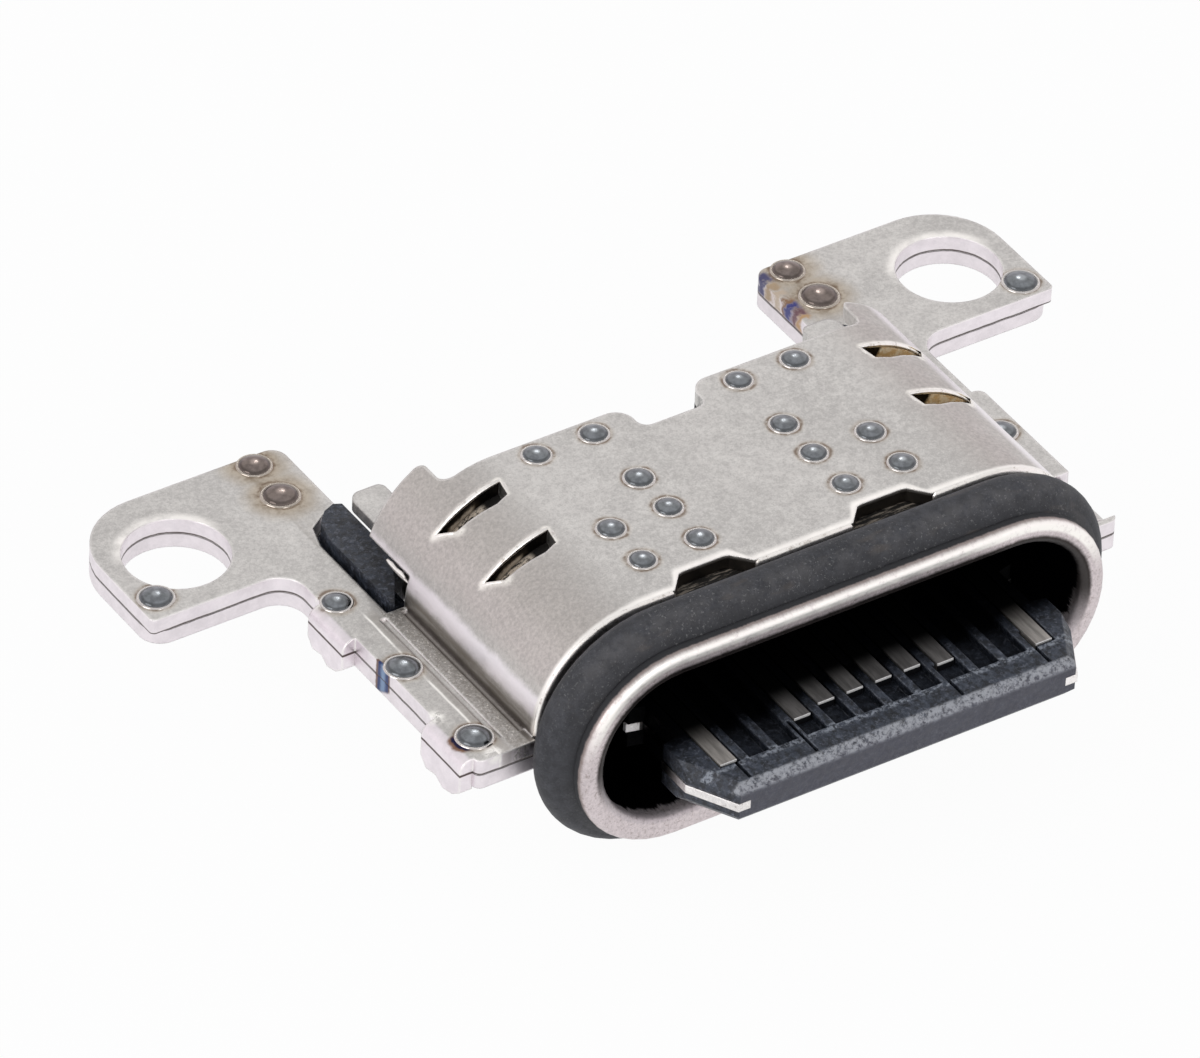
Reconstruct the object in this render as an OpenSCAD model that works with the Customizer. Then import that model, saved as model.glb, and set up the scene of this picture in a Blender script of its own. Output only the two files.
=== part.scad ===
// USB-C receptacle with two screw ears, a sealed round mouth and a tongue that stands proud of it.
// X runs from ear to ear, -Y looks out of the mouth, +Z is the side of the upper cover.
// The origin is halfway between the two screw holes, on the seating face of the ears.

/* [Mouth] */
// Width of the bore that takes the plug
bore_w = 8.34; // [8.2:0.01:8.6]
// Height of the bore
bore_h = 2.56; // [2.5:0.01:2.7]
// Wall of the drawn inner shell
shell_wall = 0.19; // [0.17:0.01:0.21]
// Distance of the lip's outer edge from the bore
lip_wall = 0.41; // [0.36:0.01:0.46]
// Length of the thick front lip
lip_len = 0.26; // [0.2:0.01:0.3]
// Widening of the bore at the lip
lead_in = 0.12; // [0.06:0.01:0.14]
// Distance from the screw-hole line to the face of the lip
lip_to_screws = 7.44; // [7.4:0.01:7.6]

/* [Seal] */
// Height of the seal above the shell that it sits on
seal_h = 0.56; // [0.4:0.01:0.6]
// Length of the seal along the shell
seal_len = 0.82; // [0.7:0.01:0.84]

/* [Covers] */
// Thickness of each cover's sheet
sheet_t = 0.26; // [0.22:0.01:0.28]
// Height of the shell's axis above the seating face
axis_z = 0.55; // [0.54:0.01:0.62]
// Distance from the lip's face to the covers' front edge
cover_setback = 1.26; // [1.26:0.01:1.3]
// Length of the covers' roof and floor
cover_len = 3.96; // [3.9:0.01:4]
// Length of the shoulder tabs behind the roof
shoulder_len = 0.6; // [0.5:0.01:0.64]
// Extra reach of the upper cover's +X shoulder, which stands off the shell
shoulder_bulge = 0.26; // [0:0.01:0.28]
// Outer half-width of the side flanges
flange_x = 5.62; // [5.5:0.01:5.7]
// Depth of the two notches in the roof's front edge
notch_depth = 0.31; // [0.2:0.01:0.4]
// Depth of the notch in the roof's rear edge
rear_notch_depth = 0.54; // [0.4:0.01:0.56]

/* [Ears] */
// Distance between the two screw holes
screw_spacing = 13.7; // [13.5:0.01:13.9]
// Diameter of the screw holes
screw_d = 1.64; // [1.5:0.01:1.8]
// Distance from the hole line to the ears' rear edge
ear_back = 1.42; // [1.3:0.01:1.5]
// Distance from the hole line to the ears' front edge
ear_front = 1.17; // [1.1:0.01:1.25]
// Outer half-width over both ears
ear_x = 7.98; // [7.9:0.01:8.1]
// Half-distance between the ears' inner edges
ear_inner_x = 4.22; // [4.2:0.01:4.3]

/* [Tongue] */
// Width of the tongue
tongue_w = 6.69; // [6.6:0.01:6.75]
// Thickness of the tongue
tongue_t = 0.7; // [0.68:0.01:0.72]
// Distance that the tongue stands out of the lip
tongue_reach = 1.62; // [1.4:0.01:1.7]
// Thickness of the metal plate between the contact rows
plate_t = 0.14; // [0.12:0.01:0.16]

/* [Contacts] */
// Distance between neighbouring contact places
pitch = 0.5; // [0.49:0.01:0.51]
// Width of a contact
contact_w = 0.28; // [0.26:0.01:0.3]
// Thickness of a contact
contact_t = 0.15; // [0.14:0.01:0.16]
// Distance between neighbouring solder tails
tail_pitch = 0.42; // [0.42:0.01:0.43]
// Distance from the screw-hole line to the ends of the tails
tail_to_screws = 0.6; // [0.55:0.01:0.8]

/* [Hidden] */
$fn = 48;
overlap = 0.02;

// Round-ended section: every sleeve shares one core line of this half-length.
bore_r = bore_h / 2;
core_x = (bore_w - bore_h) / 2;
shell_r = bore_r + shell_wall;
lip_r = bore_r + lip_wall;
seal_r = shell_r + seal_h;
cover_r = shell_r + sheet_t;
wall_x = core_x + cover_r;

// Heights above the seating face
seam_z = sheet_t;
flange_z = 2 * sheet_t;
window_z = axis_z + 0.5;

// Stations along Y
lip_y = -lip_to_screws;
lip_back_y = lip_y + lip_len;
tip_y = lip_y - tongue_reach;
cover_y = lip_y + cover_setback;
roof_back_y = cover_y + cover_len;
flange_y = cover_y - 0.1;
shell_back_y = roof_back_y - 0.02;
root_back_y = roof_back_y - rear_notch_depth;
lug_y = roof_back_y + 0.16;
block_back_y = roof_back_y + 0.66;
window_front_y = roof_back_y - 0.5;
tab_back_y = roof_back_y + shoulder_len + overlap;
window_back_y = -0.18;
window_x = 4.92;
recess_x = flange_x - 0.37;
recess_y = flange_y + 0.1;
recess_len = 1.2;
rear_slot_y = roof_back_y - 0.56;
front_slot_y = roof_back_y - 1.86;
ledge_back_y = -0.62;

root_y = tip_y + 5.9;
base_y = tip_y + 4.45;

// Terminals: the front ends are measured from the tongue's tip.
row_z = tongue_t / 2;
ground_front = 0.59;
power_front = 0.93;
signal_front = 1.06;
channel_w = contact_w + 0.08;
channel_front = 0.54;
nose_run = 0.13;
nose_drop = 0.15;
jog_y = root_y + 0.06;
jog_len = 0.75;
drop_upper_y = block_back_y - 0.28;
drop_lower_y = block_back_y - 0.6;
insulator_x = 3.45;

PLACE_COUNT = 12;
TAIL_COUNT = 16;

// Places of the fitted contacts on the twelve-place row, with the front end of each
PLACES = [0, 3, 4, 5, 6, 7, 8, 11];
FRONTS = [ground_front, power_front, signal_front, signal_front,
          signal_front, signal_front, power_front, ground_front];
UPPER = ["contact_a1", "contact_a4", "contact_a5", "contact_a6",
         "contact_a7", "contact_a8", "contact_a9", "contact_a12"];
LOWER = ["contact_b12", "contact_b9", "contact_b8", "contact_b7",
         "contact_b6", "contact_b5", "contact_b4", "contact_b1"];

function place_x(place) = (place - (PLACE_COUNT - 1) / 2) * pitch;
function tail_x(slot) = (slot - (TAIL_COUNT - 1) / 2) * tail_pitch;

// ---------- Shared shapes ----------

// Both sides of the part
module both_sides() {
    children();
    mirror([1, 0, 0]) children();
}

// Box from one corner to the opposite one
module span(from, to) {
    translate(from) cube(to - from);
}

// Waste of a rounded corner: what lies between a square corner at p and an arc of radius r.
// At turn 0 the shape lies towards +X and +Y of its corner.
module corner_waste(p, turn, r) {
    translate(p) rotate(turn) difference() {
        translate([-overlap, -overlap]) square(r + overlap);
        translate([r, r]) circle(r, $fn = 24);
    }
}

// Round-ended section of radius r about the core line, in the XZ plane.
// The core line may run on by some length at its +X end.
module round_ended(r, more = 0) {
    translate([-core_x, 0]) circle(r);
    translate([core_x + more, 0]) circle(r);
    translate([-core_x, -r]) square([2 * core_x + more, 2 * r]);
}

// Prism of a section in the XZ plane, from one Y station to another
module along_y(from, to) {
    translate([0, to, axis_z]) rotate([90, 0, 0]) linear_extrude(to - from) children();
}

// Sleeve round the core line. The child is its section: X is the radius, Y the station.
module sleeve() {
    translate([0, 0, axis_z]) rotate([-90, 0, 0]) {
        translate([core_x, 0, 0]) rotate([0, 0, -90]) rotate_extrude(angle = 180) children();
        translate([-core_x, 0, 0]) rotate([0, 0, 90]) rotate_extrude(angle = 180) children();
        for (side = [0, 180])
            rotate([0, 0, side]) translate([-core_x, 0, 0])
                rotate([90, 0, 90]) linear_extrude(2 * core_x) children();
    }
}

// ---------- Covers ----------

// Plan of one ear with its flange and neck, on the +X side
module ear_plan(front_corner_r, neck_x) {
    neck_y = window_front_y + 0.05;
    neck_fillet = 0.45;
    difference() {
        union() {
            translate([wall_x - 0.2, flange_y]) square([flange_x - wall_x + 0.2, neck_y - flange_y]);
            translate([wall_x - 0.2, neck_y - 0.5]) square([neck_x - wall_x + 0.2, 3]);
            translate([ear_inner_x, -ear_front]) square([ear_x - ear_inner_x, ear_front + ear_back]);
            corner_waste([neck_x, -ear_front], 270, neck_fillet);
        }
        corner_waste([flange_x, flange_y], 90, 0.12);
        if (neck_x < flange_x) corner_waste([flange_x, neck_y], 180, 0.14);
        corner_waste([ear_x, -ear_front], 90, front_corner_r);
        corner_waste([ear_x, ear_back], 180, 1.15);
        corner_waste([ear_inner_x, ear_back], 270, 0.25);
        side_window_plan();
        translate([screw_spacing / 2, 0]) circle(d = screw_d);
    }
}

// Plan of one whole sheet. The +X side has a waisted neck and a recess for its bent-down tab.
module sheet_plan(front_corner_r) {
    difference() {
        ear_plan(front_corner_r, flange_x - 0.17);
        translate([recess_x, recess_y]) square([1, recess_len]);
    }
    mirror([1, 0]) ear_plan(front_corner_r, flange_x);
}

// Plan of the opening at the foot of the side wall that the housing's lug fills.
// The lug's foot has the same plan, smaller by some gap.
module side_window_plan(gap = 0) {
    out_x = window_x - gap;
    back_y = window_back_y - gap;
    polygon([[core_x, window_front_y + gap], [out_x, window_front_y + gap], [out_x, back_y - 0.73],
             [out_x - 0.12, back_y - 0.32], [out_x - 0.42, back_y - 0.12],
             [ear_inner_x, back_y + 0.02], [core_x, back_y + 0.02]]);
}

// Coined lines pressed along a flange: a groove at the wall's foot and one beside the welds
module flange_grooves() {
    for (x = [wall_x + 0.05, wall_x + 0.42])
        along_y(cover_y + 0.22, window_front_y - 0.08)
            translate([x, flange_z - axis_z]) circle(0.05, $fn = 16);
}

// Slot lanced through a shoulder, with its rear edge at the given station
module shoulder_slot(y) {
    translate([0, y, axis_z + 0.4]) linear_extrude(2)
        polygon([[3.06, 0.04], [3.12, -0.29], [3.34, -0.36], [3.98, -0.27], [4.16, 0]]);
}

// Spot weld: a low round bead on a face at height z
module bead(x, y, z, r) {
    crown_h = 0.28 * r;
    ball_r = (r * r + crown_h * crown_h) / (2 * crown_h);
    translate([x, y, z - overlap]) rotate_extrude($fn = 20) intersection() {
        translate([0, overlap + crown_h - ball_r]) circle(ball_r);
        square([r, 1]);
    }
}

// Welds that join the roof to the inner shell, in four rows set at shares of the cover's
// length; the second row from the rear has no outer pair
module roof_beads() {
    shares = [0.923, 0.618, 0.419, 0.207];
    inner_x = 1.27;
    outer_x = 2.27;
    for (row = [0:3])
        for (x = row == 1 ? [inner_x] : [inner_x, outer_x])
            both_sides() bead(x, cover_y + shares[row] * cover_len, axis_z + cover_r, 0.2);
}

// Welds that join the two sheets at the ears and flanges, each [x, y, radius]
module ear_beads() {
    beads = [[-4.76, 1.2, 0.23], [-4.8, 0.4, 0.27], [-7.64, -0.72, 0.24],
             [-5.42, -2.14, 0.22], [-5.38, -3.9, 0.25], [-5.34, -5.76, 0.25],
             [4.72, 1.2, 0.23], [4.78, 0.43, 0.27], [7.62, -0.8, 0.24],
             [5.3, -3.68, 0.22]];
    for (b = beads) bead(b[0], b[1], flange_z, b[2]);
}

// Break-off tab bent down over the sheet's edge at edge_x; its lower edge is torn in steps.
// The fold's outer radius is fold_r, and the tab reaches drop below the seating face.
module bent_tab(edge_x, from_y, to_y, drop, fold_r) {
    tab_t = 0.22;
    len = to_y - from_y;
    fold_z = flange_z - fold_r;
    translate([edge_x, from_y, 0]) {
        translate([0, len, fold_z]) rotate([90, 0, 0]) linear_extrude(len) difference() {
            intersection() {
                circle(fold_r);
                translate([-0.05, 0]) square(1);
            }
            if (fold_r > tab_t) circle(fold_r - tab_t);
        }
        translate([fold_r - tab_t, 0, 0]) rotate([90, 0, 90]) linear_extrude(tab_t)
            polygon([[0, fold_z], [0, 0.2 - drop], [0.18 * len, 0.06 - drop], [0.42 * len, -drop],
                     [0.6 * len, 0.1 - drop], [0.85 * len, 0.05 - drop], [len, 0.2 - drop],
                     [len, fold_z]]);
    }
}

// Upper sheet: roof, round shoulders, flanges and ears in one pressing
module top_cover() {
    color("silver") {
        difference() {
            union() {
                translate([0, 0, seam_z]) linear_extrude(sheet_t) sheet_plan(0.08);
                intersection() {
                    along_y(cover_y, roof_back_y + shoulder_len) difference() {
                        round_ended(cover_r, shoulder_bulge);
                        round_ended(shell_r, shoulder_bulge);
                    }
                    span([-6, cover_y - 1, seam_z], [6, 0, 4]);
                }
            }
            along_y(flange_y - 1, roof_back_y + 1) round_ended(shell_r, shoulder_bulge);
            translate([shoulder_bulge, 0, 0]) flange_grooves();
            mirror([1, 0, 0]) flange_grooves();
            for (y = [rear_slot_y, front_slot_y]) {
                translate([shoulder_bulge - 0.04, 0, 0]) shoulder_slot(y);
                mirror([1, 0, 0]) shoulder_slot(y);
            }
            both_sides() {
                front_notch();
                span([core_x, window_front_y, -1],
                     [wall_x + shoulder_bulge + overlap, tab_back_y, window_z]);
            }
            rear_notch();
        }
        roof_beads();
        ear_beads();
        bent_tab(recess_x, recess_y + 0.04, recess_y + recess_len - 0.04, 0.21, 0.34);
        mirror([1, 0, 0]) {
            bent_tab(flange_x, -6.16, -5.12, 0.25, 0.22);
            bent_tab(flange_x, -2.98, -2.04, 0.2, 0.22);
        }
    }
}

// Notch in the roof's front edge, narrower at its root
module front_notch() {
    translate([0, cover_y, axis_z + shell_r - 0.3]) linear_extrude(1)
        polygon([[0.85, -1], [0.85, 0], [1.12, notch_depth - 0.02], [1.2, notch_depth],
                 [1.9, notch_depth], [1.99, notch_depth - 0.02], [2.25, 0], [2.25, -1]]);
}

// Cut behind the roof, through both sheets there: the shoulders run on, the roof stops, and
// a notch is set into its middle
module rear_notch() {
    half_w = 0.57;
    shoulder_x = 3.68;
    translate([0, roof_back_y, axis_z + 0.9]) linear_extrude(2) difference() {
        union() {
            translate([-shoulder_x, 0]) square([2 * shoulder_x, 2]);
            translate([-half_w, -rear_notch_depth]) square([2 * half_w, 1]);
            both_sides() {
                corner_waste([half_w, 0], 270, 0.3);
                corner_waste([shoulder_x, shoulder_len], 270, 0.14);
            }
        }
        both_sides() corner_waste([half_w, -rear_notch_depth], 90, 0.18);
        both_sides() corner_waste([shoulder_x, 0], 90, 0.2);
    }
}

// Lower sheet: the same ears and flanges, with a round-ended floor
module bottom_cover() {
    color("gainsboro") difference() {
        union() {
            linear_extrude(sheet_t) sheet_plan(0.35);
            intersection() {
                along_y(cover_y, roof_back_y) difference() {
                    round_ended(cover_r);
                    round_ended(shell_r);
                }
                span([-6, cover_y - 1, -4], [6, 0, seam_z]);
            }
        }
        along_y(flange_y - 1, roof_back_y + 1) round_ended(shell_r);
        both_sides() span([core_x, window_front_y, 0], [wall_x + overlap, tab_back_y, 1]);
    }
}

// ---------- Mouth ----------

// Drawn sleeve with a thick rounded lip, and a ledge on each side behind the bore
module inner_shell() {
    color("lightgray") {
        difference() {
            shell_sleeve();
            rear_notch();
        }
        both_sides() rear_ledge();
    }
}

// The shell's own sleeve, with its lip
module shell_sleeve() {
    sleeve() difference() {
        union() {
            translate([bore_r, lip_y]) square([shell_wall, shell_back_y - lip_y]);
            translate([bore_r, lip_y]) square([lip_wall, lip_len]);
        }
        corner_waste([bore_r, lip_y], 0, lead_in);
        corner_waste([lip_r, lip_y], 90, 0.1);
        corner_waste([lip_r, lip_back_y], 180, 0.05);
    }
}

// Ledge behind the bore, on the +X side, with the strip of wall that carries it
module rear_ledge() {
    low_z = axis_z + 0.28;
    high_z = axis_z + 0.48;
    in_x = 3.7;
    out_x = core_x + shell_r - 0.06;
    translate([0, 0, low_z]) linear_extrude(high_z - low_z) difference() {
        translate([in_x, shell_back_y]) square([out_x - in_x, ledge_back_y - shell_back_y]);
        corner_waste([in_x, ledge_back_y], 270, 0.12);
        corner_waste([out_x, ledge_back_y], 180, 0.2);
    }
    span([core_x + bore_r - 0.03, shell_back_y - 0.1, low_z + 0.02],
         [out_x, shell_back_y + 0.1, high_z - 0.02]);
}

// Rubber seal that sits on the shell behind the lip, with a domed crown
module seal_ring() {
    crown_r = 0.3;
    crown = [seal_r - crown_r, lip_back_y + 0.52 * seal_len];
    color("dimgray") sleeve() intersection() {
        union() {
            translate(crown) circle(crown_r, $fn = 32);
            polygon([[shell_r, lip_back_y], [lip_r - 0.04, lip_back_y],
                     crown + crown_r * [cos(32), -sin(32)], crown + crown_r * [cos(20), sin(20)],
                     [lip_r + 0.02, lip_back_y + seal_len], [shell_r, lip_back_y + seal_len]]);
        }
        translate([shell_r, lip_back_y]) square([2, seal_len]);
    }
}

// ---------- Tongue and terminals ----------

// Plan of the tongue from its tip to its thick base, with the two latch notches
module tongue_plan(grow, front) {
    half_w = tongue_w / 2 + grow;
    notch_x = half_w - 0.25;
    polygon([for (side = [1, -1]) each [for (p = side > 0 ? tongue_side(half_w, notch_x, front)
                                                       : reverse(tongue_side(half_w, notch_x, front)))
        [side * p[0], tip_y + p[1]]]]);
}

// Points of the tongue's +X edge, from its tip back
function tongue_side(half_w, notch_x, front) =
    [[half_w - 0.42, front], [half_w, 0.75], [half_w, 1.4], [notch_x, 1.46], [notch_x, 2.26],
     [half_w, 2.32], [half_w, base_y - tip_y + 0.1]];

function reverse(list) = [for (i = [len(list) - 1:-1:0]) list[i]];

// Waste of a chamfer along one upper edge of the tongue, between two points of its plan
module nose_waste(from, to) {
    run = to - from;
    translate([from[0], tip_y + from[1], axis_z + row_z]) rotate([0, 0, atan2(run[1], run[0])])
        translate([-1, 0, 0]) rotate([90, 0, 90]) linear_extrude(norm(run) + 2)
            polygon([[-0.1, 0.1], [-0.1, -nose_drop * (1 + 0.1 / nose_run)],
                     [0, -nose_drop], [nose_run, 0], [nose_run, 0.1]]);
}

// Moulded tongue with its chamfered nose, thick base and root in the shell's bore
module tongue_body() {
    corner = tongue_side(tongue_w / 2, 0, 0);
    base_half_w = 3.3;
    base_half_t = 0.55;
    block_half_w = 3.6;
    difference() {
        translate([0, 0, axis_z - row_z]) linear_extrude(tongue_t) tongue_plan(0, 0);
        for (flip = [0, 1])
            translate([0, 0, axis_z]) mirror([0, 0, flip]) translate([0, 0, -axis_z]) {
                nose_waste([-corner[0][0], 0], corner[0]);
                both_sides() nose_waste(corner[0], corner[1]);
            }
    }
    span([-base_half_w, base_y, axis_z - base_half_t], [base_half_w, root_y + overlap, axis_z + base_half_t]);
    along_y(root_y, root_back_y) round_ended(bore_r);
    span([-block_half_w, root_back_y - overlap, 0], [block_half_w, block_back_y, axis_z + base_half_t]);
    both_sides() side_lug();
}

// Narrow slots in the tongue's front, between contact places
module core_pin_slots() {
    for (x = [-2.66, -1.5, 1.04, 2.56])
        translate([x - 0.03, tip_y + 0.16, axis_z + row_z - 0.12]) cube([0.06, 0.8, 1]);
}

// Lug in the opening at the foot of a side wall, with a wide foot and its link to the rear block
module side_lug() {
    lug_top = flange_z + 0.12;
    linear_extrude(sheet_t + 0.04) intersection() {
        side_window_plan(0.03);
        translate([core_x + shell_r + 0.04, window_front_y]) square([1, window_back_y - window_front_y]);
    }
    linear_extrude(lug_top) polygon([[4.4, lug_y], [4.46, lug_y - 0.15],
        [4.76, window_front_y + 0.04], [4.81, window_front_y + 0.08], [4.81, window_back_y - 0.77],
        [4.72, window_back_y - 0.4], [4.52, window_back_y - 0.18], [4.32, window_back_y - 0.1],
        [4.2, window_back_y - 0.16], [4.2, lug_y]]);
    span([3.5, lug_y, 0], [4.3, block_back_y, flange_z]);
}

// Channels for all twelve places of both rows, open at the tongue's faces
module contact_channels() {
    for (place = [0:PLACE_COUNT - 1])
        for (z = [row_z - contact_t, -row_z - 1])
            translate([place_x(place) - channel_w / 2, tip_y + channel_front, axis_z + z])
                cube([channel_w, base_y - tip_y - channel_front, contact_t + 1]);
}

// Overmoulded black body: tongue, root, rear block and side lugs
module tongue_housing() {
    color([0.13, 0.13, 0.15]) difference() {
        tongue_body();
        contact_channels();
        core_pin_slots();
        mid_plate_body();
        insulator_bodies();
        all_contacts();
    }
}

// Spring-steel plate between the two rows; its edges stand just proud of the tongue
module mid_plate_body() {
    proud = 0.03;
    front_gap_w = 5.5;
    tail_w = 5.8;
    plate_back_y = drop_lower_y - 0.12;
    translate([0, 0, axis_z - plate_t / 2]) linear_extrude(plate_t) {
        difference() {
            tongue_plan(proud, -0.01);
            translate([-front_gap_w / 2, tip_y - 1]) square([front_gap_w, 1.3]);
        }
        translate([-tail_w / 2, base_y - overlap]) square([tail_w, plate_back_y - base_y]);
    }
}

module mid_plate() {
    color("whitesmoke") mid_plate_body();
}

// Envelopes of the two moulded terminal blocks
module upper_insulator_body() {
    span([-insulator_x, root_y + overlap, axis_z + plate_t / 2], [insulator_x, block_back_y, axis_z + 0.45]);
}

module lower_insulator_body() {
    span([-insulator_x, root_y + overlap, 0.06], [insulator_x, block_back_y, axis_z - plate_t / 2]);
}

module insulator_bodies() {
    upper_insulator_body();
    lower_insulator_body();
}

module upper_insulator() {
    color([0.2, 0.2, 0.22]) difference() {
        upper_insulator_body();
        all_contacts();
    }
}

module lower_insulator() {
    color([0.17, 0.17, 0.19]) difference() {
        lower_insulator_body();
        all_contacts();
    }
}

// Stamped contact: strip along the tongue, jog to its tail's place, drop and solder tail
module contact(i, upper) {
    half_w = contact_w / 2;
    front_x = place_x(PLACES[i]);
    back_x = tail_x(upper ? 2 * i : 2 * i + 1);
    drop_y = upper ? drop_upper_y : drop_lower_y;
    low_z = axis_z + (upper ? row_z - contact_t : -row_z);
    jog_back_y = jog_y + jog_len;
    color("darkkhaki") {
        translate([0, 0, low_z]) linear_extrude(contact_t)
            polygon([[front_x - half_w, tip_y + FRONTS[i]], [front_x + half_w, tip_y + FRONTS[i]],
                     [front_x + half_w, jog_y], [back_x + half_w, jog_back_y],
                     [back_x + half_w, drop_y + contact_t], [back_x - half_w, drop_y + contact_t],
                     [back_x - half_w, jog_back_y], [front_x - half_w, jog_y]]);
        span([back_x - half_w, drop_y, 0], [back_x + half_w, drop_y + contact_t, low_z + contact_t]);
        span([back_x - half_w, drop_y, 0], [back_x + half_w, -tail_to_screws, contact_t]);
    }
}

module all_contacts() {
    for (i = [0:7]) {
        contact(i, true);
        contact(i, false);
    }
}

top_cover();
bottom_cover();
inner_shell();
seal_ring();
tongue_housing();
mid_plate();
upper_insulator();
lower_insulator();
for (i = [0:7]) {
    contact(i, true);
    contact(i, false);
}
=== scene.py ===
"""Finishes, welds and studio for a USB-C socket with screw ears and a sealed mouth."""

import math

import bpy
from mathutils import Matrix, Vector


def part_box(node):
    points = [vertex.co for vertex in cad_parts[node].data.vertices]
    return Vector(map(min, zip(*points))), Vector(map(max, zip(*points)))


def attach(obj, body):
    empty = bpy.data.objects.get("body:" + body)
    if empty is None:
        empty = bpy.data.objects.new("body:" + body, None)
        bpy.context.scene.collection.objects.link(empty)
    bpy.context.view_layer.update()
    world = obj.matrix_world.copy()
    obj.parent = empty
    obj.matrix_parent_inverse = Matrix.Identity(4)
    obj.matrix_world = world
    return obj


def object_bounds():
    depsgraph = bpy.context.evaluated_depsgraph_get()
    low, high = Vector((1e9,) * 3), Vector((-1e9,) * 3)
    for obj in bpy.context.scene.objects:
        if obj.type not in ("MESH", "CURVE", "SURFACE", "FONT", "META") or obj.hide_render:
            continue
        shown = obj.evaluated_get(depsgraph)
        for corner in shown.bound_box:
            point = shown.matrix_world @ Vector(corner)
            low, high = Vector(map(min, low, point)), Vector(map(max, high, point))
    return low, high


bl_info = {
    "name": "Sealed USB-C socket",
    "version": (1, 0, 0),
    "blender": (4, 5, 0),
    "location": "3D View > Sidebar > Socket",
    "description": "Finishes a USB-C socket's solids and sets it in a plain studio",
    "category": "Object",
}

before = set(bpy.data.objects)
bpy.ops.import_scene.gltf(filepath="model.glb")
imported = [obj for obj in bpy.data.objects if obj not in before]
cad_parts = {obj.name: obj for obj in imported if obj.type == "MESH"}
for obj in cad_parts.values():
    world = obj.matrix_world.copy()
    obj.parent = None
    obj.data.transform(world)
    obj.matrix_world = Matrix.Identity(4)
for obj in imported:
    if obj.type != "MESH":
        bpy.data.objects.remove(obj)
cad_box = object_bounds()

MM = 0.001

# Stations and sizes in millimetres: those taken from a box are read from the solids, the rest are typed
LIP_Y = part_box("inner_shell")[0][1] / MM
FLANGE_LEAD = 0.1
COVER_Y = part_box("top_cover")[0][1] / MM + FLANGE_LEAD
TIP_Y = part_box("mid_plate")[0][1] / MM
ROOF_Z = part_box("top_cover")[1][2] / MM - 0.056
SHEET_T = 0.26
FLANGE_Z = 2 * SHEET_T
AXIS_Z = 0.55
CORE_X = 2.89
COVER_LEN = 3.96
NOTCH_DEPTH = 0.31
ROOF_BACK_Y = COVER_Y + COVER_LEN
SLOT_YS = (ROOF_BACK_Y - 0.56, ROOF_BACK_Y - 1.86)
COVER_R = 1.73
SLOT_SHIFT = 0.22
NOTCH_X = (0.85, 2.25)
BULGE = 0.26
SCREW = (6.85, 0.0, 0.82)
ROW_SHARES = (0.923, 0.618, 0.419, 0.207)
ROOF_WELD_R = 0.2
WELD_COLLAR = 0.014
WELD_MOAT = 0.04
ROLL_END = 0.04
END_SHARE = 0.6
SLOT_IN = 3.04
SLOT_SPAN = 1.12
REAR_BEAD = 0.047
SIDE_BEAD = 0.036
TAIL_BEAD = 0.034
BURR_BEAD = 0.035
SEAM_HALF = 0.022
FLOOR_DROP = 0.02

# Y stations between which the contacts' painted shade fades out, towards their tails
FAR_INSIDE = (-3.4, -3.0)

# How far behind the plate's tip each kind of contact begins, and how long it stays bright before the painted
# shade
GROUND_FRONT, GROUND_BRIGHT = 0.59, 1.0
POWER_FRONT, POWER_BRIGHT = 0.93, 0.75
SIGNAL_FRONT, SIGNAL_BRIGHT = 1.06, 0.65

# Colours that are used more than once
SHINE = (1.0, 0.97, 0.93)
HIGHLIGHT = (1.0, 0.98, 0.94)
ROSE = (1.0, 0.95, 0.99)
TARNISH = (0.2, 0.15, 0.13)

# Welds of the roof's +X half, and all welds of the ears and flanges: x, y, radius
ROOF_WELDS = [
    (x, COVER_Y + share * COVER_LEN, ROOF_WELD_R)
    for row, share in enumerate(ROW_SHARES)
    for x in ((1.27,) if row == 1 else (1.27, 2.27))
]
FLANGE_WELDS = [
    (-7.64, -0.72, 0.24), (-5.42, -2.14, 0.22), (-5.38, -3.9, 0.25),
    (-5.34, -5.76, 0.25), (7.62, -0.8, 0.24), (5.3, -3.68, 0.22),
]
EAR_WELDS = [
    (-4.76, 1.2, 0.23), (-4.8, 0.4, 0.27), (4.72, 1.2, 0.23), (4.78, 0.43, 0.27),
]


# ---------- Node trees ----------

class Tree:
    """Node tree of a material or of the surround."""

    def __init__(self, owner):
        owner.use_nodes = True
        self.nodes = owner.node_tree.nodes
        self.links = owner.node_tree.links

    def put(self, kind, inputs=(), **settings):
        node = self.nodes.new(kind)
        for name, value in settings.items():
            setattr(node, name, value)
        for i, value in enumerate(inputs):
            self.feed(node.inputs[i], value)
        return node

    def feed(self, socket, value):
        if isinstance(value, bpy.types.NodeSocket):
            self.links.new(value, socket)
        elif value is not None:
            socket.default_value = value


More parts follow.
